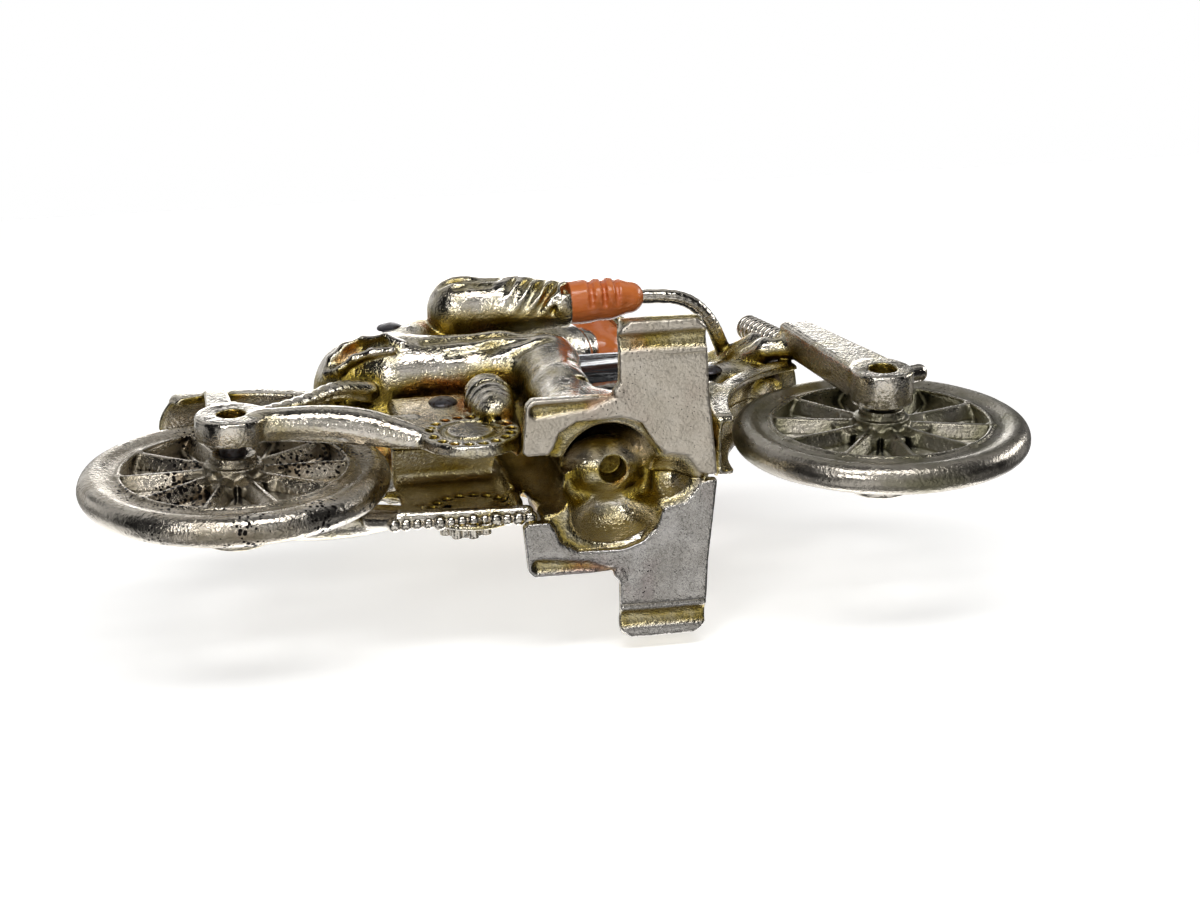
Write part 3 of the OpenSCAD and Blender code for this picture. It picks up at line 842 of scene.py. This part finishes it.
face.add(lump(head_point(-0.4, -7.4, -1.2), (1.5, 0.9, 2.2)), 0.5)
face.run(((head_point(-4, 0, -7), 5.2), (head_point(-7, 0, -10), 5.6)), 2)
face.waves(4, 0.08, 41)
face.cut(brow_plane(CAP_EDGE), 0)
middle_cut(face)

cap = Iron(head_at - (14, 12, 8), head_at + (17, 1.2, 15), HEAD_GRID)
cap.add(lump(head_point(-0.8, 0, 1.4), (9.8, 8.7, 10)), 0)
cap.field = np.maximum(cap.field, brow_plane(CAP_EDGE)[0](*cap.grid()))
# rolled lower edge, short peak, and the crown's sewn seams
EDGE_STEPS = 8
edge_turns = [math.pi * i / EDGE_STEPS for i in range(EDGE_STEPS + 1)]
rolled_edge = [(head_point(-0.8 + 9.5 * math.cos(a), -8.4 * math.sin(a), 2.3), 0.75) for a in edge_turns]
cap.run(rolled_edge, 0.4)
cap.add(can(head_point(5.6, 0, 2.6), head_point(5.9, 0, 3.9), 7.2, 0.5), 0.6)
cap.run(
    ((head_point(9.2, -0.2, 4.4), 0.4), (head_point(5, -0.2, 10), 0.4), (head_point(-4, -0.2, 11.2), 0.4)),
    0.4, away=True,
)
cap.run(
    ((head_point(1, -8.4, 4.4), 0.35), (head_point(0.6, -6.4, 8.4), 0.35), (head_point(0, -1, 11.3), 0.35)),
    0.4, away=True,
)
cap.waves(5, 0.08, 42)
middle_cut(cap)
for side in ("right", "left"):
    half_face = pour(f"{side}_face_enamel", face, mirror=side == "left")
    half_face.data.materials.append(orange_enamel)
    half_cap = pour(f"{side}_cap_plate", cap, mirror=side == "left")
    half_cap.data.materials.append(cast_nickel)
    for piece, node, slot in ((half_face, "face", "orange_enamel"), (half_cap, "cap", "nickel_casting")):
        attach(piece, "body")
        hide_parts(f"{side}_{node}")

# ---------------------------------------------------------------------------------------------
# Fork springs. Each fork leg has a coil spring cast in relief behind its top: nine close turns
# round a core, plated with the rest and dark between the turns.
# ---------------------------------------------------------------------------------------------


def new_tree(name, inputs):
    """A geometry tree with named inputs, given as (name, kind) pairs, and its two end nodes."""
    tree = bpy.data.node_groups.new(name, "GeometryNodeTree")
    tree.interface.new_socket("Geometry", in_out="INPUT", socket_type="NodeSocketGeometry")
    for title, kind in inputs:
        tree.interface.new_socket(title, in_out="INPUT", socket_type=f"NodeSocket{kind}")
    tree.interface.new_socket("Geometry", in_out="OUTPUT", socket_type="NodeSocketGeometry")
    return tree, tree.nodes.new("NodeGroupInput").outputs


def grow(name, tree, result, values):
    """Ends a tree in real geometry with its material, runs it with these values and keeps the mesh."""
    real = wire(tree, "GeometryNodeRealizeInstances", {"Geometry": result})
    smooth = wire(tree, "GeometryNodeSetShadeSmooth", {"Geometry": real})
    dressed = wire(tree, "GeometryNodeSetMaterial", {"Geometry": smooth, "Material": values.pop("Material")})
    wire(tree, "NodeGroupOutput", {"Geometry": dressed})
    piece = bpy.data.objects.new(name, bpy.data.meshes.new(name))
    bpy.context.scene.collection.objects.link(piece)
    maker = piece.modifiers.new("maker", "NODES")
    maker.node_group = tree
    for item in tree.interface.items_tree:
        if item.in_out == "INPUT" and item.name in values:
            maker[item.identifier] = values[item.name]
    settle(piece)
    for word in ("recess", "edge"):
        if word not in piece.data.attributes:
            piece.data.attributes.new(word, "FLOAT", "POINT")
    return piece


SPRING_LOW = np.array([62, -10.6, 77])
SPRING_HIGH = np.array([57.5, -10.6, 91])
for side, hand_sign in (("right", 1), ("left", -1)):
    tree, given = new_tree(f"{side}_spring_turns", (
        ("Start", "Vector"), ("End", "Vector"), ("Turns", "Int"), ("Coil Radius", "Float"),
        ("Wire Radius", "Float"),
    ))
    line = wire(tree, "GeometryNodeMeshLine", {
        "Count": given["Turns"], "Start Location": given["Start"], "Offset": given["End"],
    }, mode="END_POINTS")
    away = wire(tree, "ShaderNodeVectorMath", {0: given["End"], 1: given["Start"]}, operation="SUBTRACT")
    lean = wire(tree, "FunctionNodeAlignRotationToVector", {"Vector": away}, axis="Z")
    ring = wire(tree, "GeometryNodeCurvePrimitiveCircle", {"Resolution": 40, "Radius": given["Coil Radius"]})
    round_wire = wire(
        tree, "GeometryNodeCurvePrimitiveCircle", {"Resolution": 14, "Radius": given["Wire Radius"]},
    )
    turn = wire(tree, "GeometryNodeCurveToMesh", {"Curve": ring, "Profile Curve": round_wire})
    turns = wire(tree, "GeometryNodeInstanceOnPoints", {"Points": line, "Instance": turn, "Rotation": lean})
    ends = wire(tree, "GeometryNodeMeshLine", {
        "Count": 2, "Start Location": given["Start"], "Offset": given["End"],
    }, mode="END_POINTS")
    core_line = wire(tree, "GeometryNodeMeshToCurve", {"Mesh": ends})
    core_ring = wire(
        tree, "GeometryNodeCurvePrimitiveCircle", {"Resolution": 32, "Radius": given["Coil Radius"]},
    )
    core = wire(tree, "GeometryNodeCurveToMesh", {
        "Curve": core_line, "Profile Curve": core_ring, "Fill Caps": True,
    })
    tip = wire(
        tree, "GeometryNodeMeshUVSphere", {"Segments": 32, "Rings": 16, "Radius": given["Coil Radius"]},
    )
    tips = wire(tree, "GeometryNodeInstanceOnPoints", {"Points": ends, "Instance": tip})
    whole = wire(tree, "GeometryNodeJoinGeometry", {"Geometry": turns})
    tree.links.new(core.outputs[0], whole.inputs["Geometry"])
    tree.links.new(tips.outputs[0], whole.inputs["Geometry"])
    flip = np.array([1, hand_sign, 1])
    spring = grow(f"{side}_fork_spring_turns", tree, whole.outputs[0], {
        "Start": list(SPRING_LOW * flip * MM), "End": list(SPRING_HIGH * flip * MM), "Turns": 9,
        "Coil Radius": 2.4 * MM, "Wire Radius": 0.85 * MM, "Material": cast_nickel,
    })
    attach(spring, "body")
    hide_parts(f"{side}_fork_spring")

# ---------------------------------------------------------------------------------------------
# Left chain and its knob. The bottom run of the chain is cast along the left stay as a row of
# round links, and a fluted adjuster knob stands beside the left chainwheel.
# ---------------------------------------------------------------------------------------------

tree, given = new_tree(
    "chain_links", (("Start", "Vector"), ("End", "Vector"), ("Links", "Int"), ("Link Radius", "Float")),
)
line = wire(tree, "GeometryNodeMeshLine", {
    "Count": given["Links"], "Start Location": given["Start"], "Offset": given["End"],
}, mode="END_POINTS")
link = wire(tree, "GeometryNodeMeshUVSphere", {"Segments": 20, "Rings": 12, "Radius": given["Link Radius"]})
size = wire(tree, "FunctionNodeRandomValue", {2: 0.85, 3: 1.12, "Seed": 7}, data_type="FLOAT")
row = wire(tree, "GeometryNodeInstanceOnPoints", {"Points": line, "Instance": link, "Scale": size.outputs[1]})
links = grow("left_chain_links", tree, row.outputs[0], {
    "Start": (-0.0415, 0.0079, 0.0204), "End": (-0.0115, 0.0074, 0.0172), "Links": 13, "Link Radius": 0.0017,
    "Material": cast_nickel,
})
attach(links, "body")

tree, given = new_tree("fluted_knob", (
    ("Place", "Vector"), ("Flutes", "Int"), ("Knob Radius", "Float"), ("Flute Radius", "Float"),
    ("Height", "Float"),
))
facing = (math.radians(90), 0, 0)
body = wire(tree, "GeometryNodeMeshCylinder", {
    "Vertices": 48, "Radius": given["Knob Radius"], "Depth": given["Height"],
})
round_about = wire(
    tree, "GeometryNodeMeshCircle", {"Vertices": given["Flutes"], "Radius": given["Knob Radius"]},
)
flute = wire(tree, "GeometryNodeMeshCylinder", {
    "Vertices": 20, "Radius": given["Flute Radius"], "Depth": given["Height"],
})
flutes = wire(tree, "GeometryNodeInstanceOnPoints", {"Points": round_about, "Instance": flute})
both = wire(tree, "GeometryNodeJoinGeometry", {"Geometry": body})
tree.links.new(flutes.outputs[0], both.inputs["Geometry"])
stood = wire(tree, "GeometryNodeTransform", {
    "Geometry": both, "Translation": given["Place"], "Rotation": facing,
})
knob = grow("left_adjuster_knob", tree, stood.outputs[0], {
    "Place": (-0.0245, 0.0112, 0.0275), "Flutes": 9, "Knob Radius": 0.0053, "Flute Radius": 0.0013,
    "Height": 0.0042,
    "Material": cast_nickel,
})
softened = knob.modifiers.new("softened", "BEVEL")
softened.width = 0.0004
softened.segments = 3
softened.limit_method = "ANGLE"
settle(knob)
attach(knob, "body")

# ---------------------------------------------------------------------------------------------
# Wheels. Each is one iron casting with a round tyre, a flat rim, ten fins for spokes and a long
# hub. They turn loose on their axles, so the plate is duller, pitted and rubbed on the tread.
# ---------------------------------------------------------------------------------------------

WHEEL_GRID = 0.4
wheel_r = corner("rear_wheel", True)[2] - rear_axle[2]
wheel_half = corner("rear_wheel", True)[1]
SPOKES = 10


def wheel_iron(first_spoke_deg, seed):
    """A wheel centred on the origin, with its axis along Y."""
    iron = Iron(
        (-wheel_r - 2, -wheel_half - 1.5, -wheel_r - 2), (wheel_r + 2, wheel_half + 1.5, wheel_r + 2),
        WHEEL_GRID,
    )
    x, y, z = iron.grid()
    q = np.sqrt(x**2 + z**2)
    tyre = np.sqrt((q - wheel_r + 3.5) ** 2 + y**2) - 3.5
    rim = np.maximum(np.abs(q - 27.8) - 2.3, np.abs(y) - 3.05 + 0.12 * (q - 25))
    ring = np.sqrt((q - 25.7) ** 2 + (np.abs(y) - 2.9) ** 2) - 0.55
    hub = np.maximum(q - 5.0 - 0.22 * (wheel_half - np.abs(y)), np.abs(y) - wheel_half + 0.3)
    collar = np.maximum(q - 6.6, np.abs(y) - wheel_half + 2.4)
    turn = np.arctan2(z, x) - math.radians(first_spoke_deg)
    step = 2 * math.pi / SPOKES
    turn = (turn + step / 2) % step - step / 2
    across = np.abs(np.sin(turn) * q)
    fin = (across - 0.55 - 0.62 * np.maximum(3.1 - np.abs(y), 0)) * 0.85
    fin = np.maximum(np.maximum(fin, np.abs(y) - 3.1), np.maximum(q - 26.5, 3.5 - q))
    root = np.maximum(across - 2.6, np.maximum(np.abs(y) - 2.2, np.maximum(q - 11, 3 - q)))
    iron.field = soft_min(soft_min(tyre, rim, 0.9), ring, 0.4).astype(np.float32)
    iron.field = soft_min(iron.field, soft_min(hub, collar, 0.6), 1.0)
    iron.field = soft_min(iron.field, soft_min(fin, root, 1.5), 1.0)
    iron.waves(6, 0.12, seed)
    iron.waves(1.8, 0.05, seed + 1)
    iron.field = np.maximum(iron.field, bore_r - 0.1 - q).astype(np.float32)
    return iron


rear_plate = nickel(
    "pitted_nickel_plate", "#d6cfc3", "#bcb2a2", "#8c8370", "#7a6850", "#2a241e", 0.12, 1.0, 0.46,
)
front_plate = nickel(
    "dulled_nickel_plate", "#b4ada2", "#9b9586", "#7c7862", "#6c684e", "#25231b", 0.18, 0.9, 0.16,
)
for name, axle, first_spoke, metal, seed in (
    ("rear_wheel", rear_axle, 0, rear_plate, 51), ("front_wheel", front_axle, 18, front_plate, 61),
):
    wheel = pour(f"{name}_casting", wheel_iron(first_spoke, seed))
    wheel.data.transform(Matrix.Translation(Vector(axle) * MM))
    wheel.data.materials.append(metal)
    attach(wheel, name)
    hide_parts(name)

# ---------------------------------------------------------------------------------------------
# Axles. Plain steel pins, pressed into the bosses of both halves with their ends sunk below the
# faces, and left unplated, so they have gone dark.
# ---------------------------------------------------------------------------------------------


def bare_steel(name):
    """Unplated mild steel, hammered over. The eye sees dark grey metal, dull where it has rusted."""
    finish, tree, shader = new_finish(name)
    spot = wire(tree, "ShaderNodeTexCoord", {}).outputs["Object"]
    rust = noise(tree, spot, 1.6, 5, 0.65)
    spread = ramp(tree, rust, 0.5, 0.68)
    tone = tint(tree, spread, paint("#5d5b5e"), paint("#3d2a1c"))
    dull = sums(tree, "MULTIPLY_ADD", spread, 0.4, 0.3)
    bump = bumps(tree, rust, 0.6, 0.0003)
    fill(tree, shader, {"Base Color": tone, "Metallic": 1.0, "Roughness": dull, "Normal": bump})
    return finish


steel = bare_steel("dark_bare_steel")
axle_r = corner("rear_axle", True)[2] - rear_axle[2]
for name, centre in (("rear_axle", rear_axle), ("front_axle", front_axle)):
    y0, y1 = corner(name, False)[1], corner(name, True)[1]
    pin = Iron(centre - (5, -y0 + 2, 5), centre + (5, y1 + 2, 5), 0.4)
    pin.add(can((centre[0], y0, centre[2]), (centre[0], y1, centre[2]), axle_r, 0.7), 0)
    # the lathe's centre hole in each end
    for y in (y0, y1):
        pin.cut(lump((centre[0], y, centre[2]), (1.2, 1.0, 1.2)), 0.3)
    shaft = pour(f"{name}_pin", pin)
    shaft.data.materials.append(steel)
    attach(shaft, "body")
    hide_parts(name)

# ---------------------------------------------------------------------------------------------
# Rivets. Three soft steel rivets hold the halves together at the hip, the crankcase and the
# neck. Each is a shank with a low domed head hammered over at both sides.
# ---------------------------------------------------------------------------------------------

for name in ("hip_rivet", "crankcase_rivet", "neck_rivet"):
    low, high = corner(name, False) * MM, corner(name, True) * MM
    head_r = (high[0] - low[0]) / 2
    tree, given = new_tree(name, (
        ("Place", "Vector"), ("Grip", "Float"), ("Shank Radius", "Float"), ("Head Radius", "Float"),
        ("Rise", "Float"),
    ))
    shank = wire(tree, "GeometryNodeMeshCylinder", {
        "Vertices": 32, "Radius": given["Shank Radius"], "Depth": given["Grip"],
    })
    ball = wire(
        tree, "GeometryNodeMeshUVSphere", {"Segments": 40, "Rings": 24, "Radius": given["Head Radius"]},
    )
    share = sums(tree, "DIVIDE", given["Rise"], given["Head Radius"])
    squeeze = wire(tree, "ShaderNodeCombineXYZ", {"X": 1.0, "Y": 1.0, "Z": share})
    dome = wire(tree, "GeometryNodeTransform", {"Geometry": ball, "Scale": squeeze})
    place = wire(tree, "GeometryNodeInputPosition", {})
    split = wire(tree, "ShaderNodeSeparateXYZ", {0: place})
    floor_z = sums(tree, "MAXIMUM", split.outputs["Z"], 0.0)
    flat = wire(
        tree, "ShaderNodeCombineXYZ",
        {"X": split.outputs["X"], "Y": split.outputs["Y"], "Z": floor_z},
    )
    head = wire(tree, "GeometryNodeSetPosition", {"Geometry": dome, "Position": flat})
    half_grip = sums(tree, "MULTIPLY", given["Grip"], 0.5)
    lift = wire(tree, "ShaderNodeCombineXYZ", {"X": 0.0, "Y": 0.0, "Z": half_grip})
    upper = wire(tree, "GeometryNodeTransform", {"Geometry": head, "Translation": lift})
    lower = wire(tree, "GeometryNodeTransform", {"Geometry": upper, "Rotation": (math.pi, 0, 0)})
    whole = wire(tree, "GeometryNodeJoinGeometry", {"Geometry": shank})
    tree.links.new(upper.outputs[0], whole.inputs["Geometry"])
    tree.links.new(lower.outputs[0], whole.inputs["Geometry"])
    stood = wire(tree, "GeometryNodeTransform", {
        "Geometry": whole, "Translation": given["Place"], "Rotation": facing,
    })
    head_rise = 0.0012
    rivet = grow(f"{name}_steel", tree, stood.outputs[0], {
        "Place": list((low + high) / 2), "Grip": float(high[1] - low[1]) - 2 * head_rise,
        "Shank Radius": 0.002,
        "Head Radius": float(head_r), "Rise": head_rise, "Material": steel,
    })
    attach(rivet, "body")
    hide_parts(name)

# ---------------------------------------------------------------------------------------------
# Studio. A pale floor under the wheels and a pale table at the toy's left side, each seen from
# its front only, soft boxes above and round the toy, and a camera low under its right side.
# ---------------------------------------------------------------------------------------------


def pale_sheet(name, turn, place, size, shine):
    """A flat lit sheet that can be seen from its front only and casts no shadow or reflection."""
    half_size = size / 2
    spots = [(a * half_size, b * half_size, 0) for a, b in ((-1, -1), (1, -1), (1, 1), (-1, 1))]
    mesh = bpy.data.meshes.new(name)
    mesh.from_pydata([tuple(turn @ Vector(s) + Vector(place)) for s in spots], [], [(0, 1, 2, 3)])
    sheet = bpy.data.objects.new(name, mesh)
    bpy.context.scene.collection.objects.link(sheet)
    finish, tree, shader = new_finish(f"{name}_paper")
    speck = wire(tree, "ShaderNodeTexCoord", {}).outputs["Object"]
    fibre = noise(tree, speck, 3, 3)
    tone = tint(tree, fibre, paint("#f4f3f1"), paint("#fbfbfa"))
    fill(tree, shader, {
        "Base Color": tone, "Roughness": 0.9, "Emission Color": (1, 1, 1, 1), "Emission Strength": shine,
    })
    behind = wire(tree, "ShaderNodeNewGeometry", {}).outputs["Backfacing"]
    clear = wire(tree, "ShaderNodeBsdfTransparent", {})
    shown = wire(tree, "ShaderNodeMixShader", {0: behind, 1: shader, 2: clear})
    fill(tree, tree.nodes["Material Output"], {"Surface": shown})
    mesh.materials.append(finish)
    sheet.visible_glossy = False
    sheet.visible_diffuse = False
    sheet.visible_shadow = False
    return sheet


FLOOR_SIZE = 6.0
pale_sheet("floor", Matrix.Identity(3), (0, 0, 0), FLOOR_SIZE, 0.35)
TABLE_SIZE = 0.7
pale_sheet("table", Matrix.Rotation(math.radians(90), 3, "X"), (0, 0.0405, 0.1), TABLE_SIZE, 0.5)


def soft_box(name, place, width, height, power):
    """An area light that faces the toy and isn't seen itself."""
    lamp = bpy.data.lights.new(name, "AREA")
    lamp.shape = "RECTANGLE"
    lamp.size = width
    lamp.size_y = height
    lamp.energy = power
    box_light = bpy.data.objects.new(name, lamp)
    turned = Vector(place).to_track_quat("Z", "Y").to_matrix().to_4x4()
    box_light.matrix_world = Matrix.Translation(place) @ turned
    box_light.visible_camera = False
    bpy.context.scene.collection.objects.link(box_light)


soft_box("right_box", (-0.05, -0.8, -0.25), 0.8, 0.2, 3.2)
soft_box("under_box", (-0.45, -0.4, -0.6), 0.22, 0.22, 1.5)
soft_box("top_box", (0.1, 0.0, 0.95), 0.5, 0.5, 2.2)
soft_box("left_box", (0.2, 0.85, 0.2), 0.8, 0.25, 2.4)
soft_box("front_box", (0.85, -0.3, 0.25), 0.16, 0.5, 1.4)

world = bpy.data.worlds.new("studio")
bpy.context.scene.world = world
world.use_nodes = True
sky = world.node_tree
backdrop = sky.nodes["Background"]
ray = wire(sky, "ShaderNodeLightPath", {}).outputs["Is Camera Ray"]
way = wire(sky, "ShaderNodeTexCoord", {}).outputs["Generated"]
part = wire(sky, "ShaderNodeSeparateXYZ", {0: way}).outputs
panel = wire(sky, "ShaderNodeTexNoise", {"Vector": way, "Scale": 2.0, "Detail": 0})
broken = ramp(sky, panel.outputs["Fac"], 0.42, 0.58, 0.2, 1.5, interpolation_type="SMOOTHSTEP")
# light from each side: its axis, where it starts and is full, and how strong
total = 0.03
for axis, start, full, strength in (("Z", -0.5, -1.0, 0.6), ("Z", -0.1, 0.9, 0.5), ("Y", 0.1, 0.8, 0.6)):
    share = ramp(sky, part[axis], start, full, 0.0, strength, interpolation_type="SMOOTHSTEP")
    total = sums(sky, "ADD", share, total)
glow = sums(sky, "MULTIPLY", total, broken)
seen = wire(sky, "ShaderNodeMix", {0: ray, 2: glow, 3: 1.0}, data_type="FLOAT")
fill(sky, backdrop, {"Color": (1, 1, 1, 1), "Strength": seen})

# the camera looks up from low in front of the right side, through a long lens
LENS_ANGLES = (19.9, 10.5, 4.2)
CAMERA_PLACE = (-0.0996, -0.1988, -0.5116)
tilt = [Matrix.Rotation(math.radians(a), 3, axis) for a, axis in zip(LENS_ANGLES, "XYZ")]
below = Matrix.Diagonal((1, -1, -1))
aim = (tilt[2] @ tilt[1] @ tilt[0] @ below).transposed()
camera = bpy.data.objects.new("camera", bpy.data.cameras.new("camera"))
camera.data.lens = 77
camera.data.sensor_width = 36
camera.matrix_world = Matrix.Translation(CAMERA_PLACE) @ aim.to_4x4()
bpy.context.scene.collection.objects.link(camera)
bpy.context.scene.camera = camera
bpy.context.scene.view_settings.view_transform = "Standard"
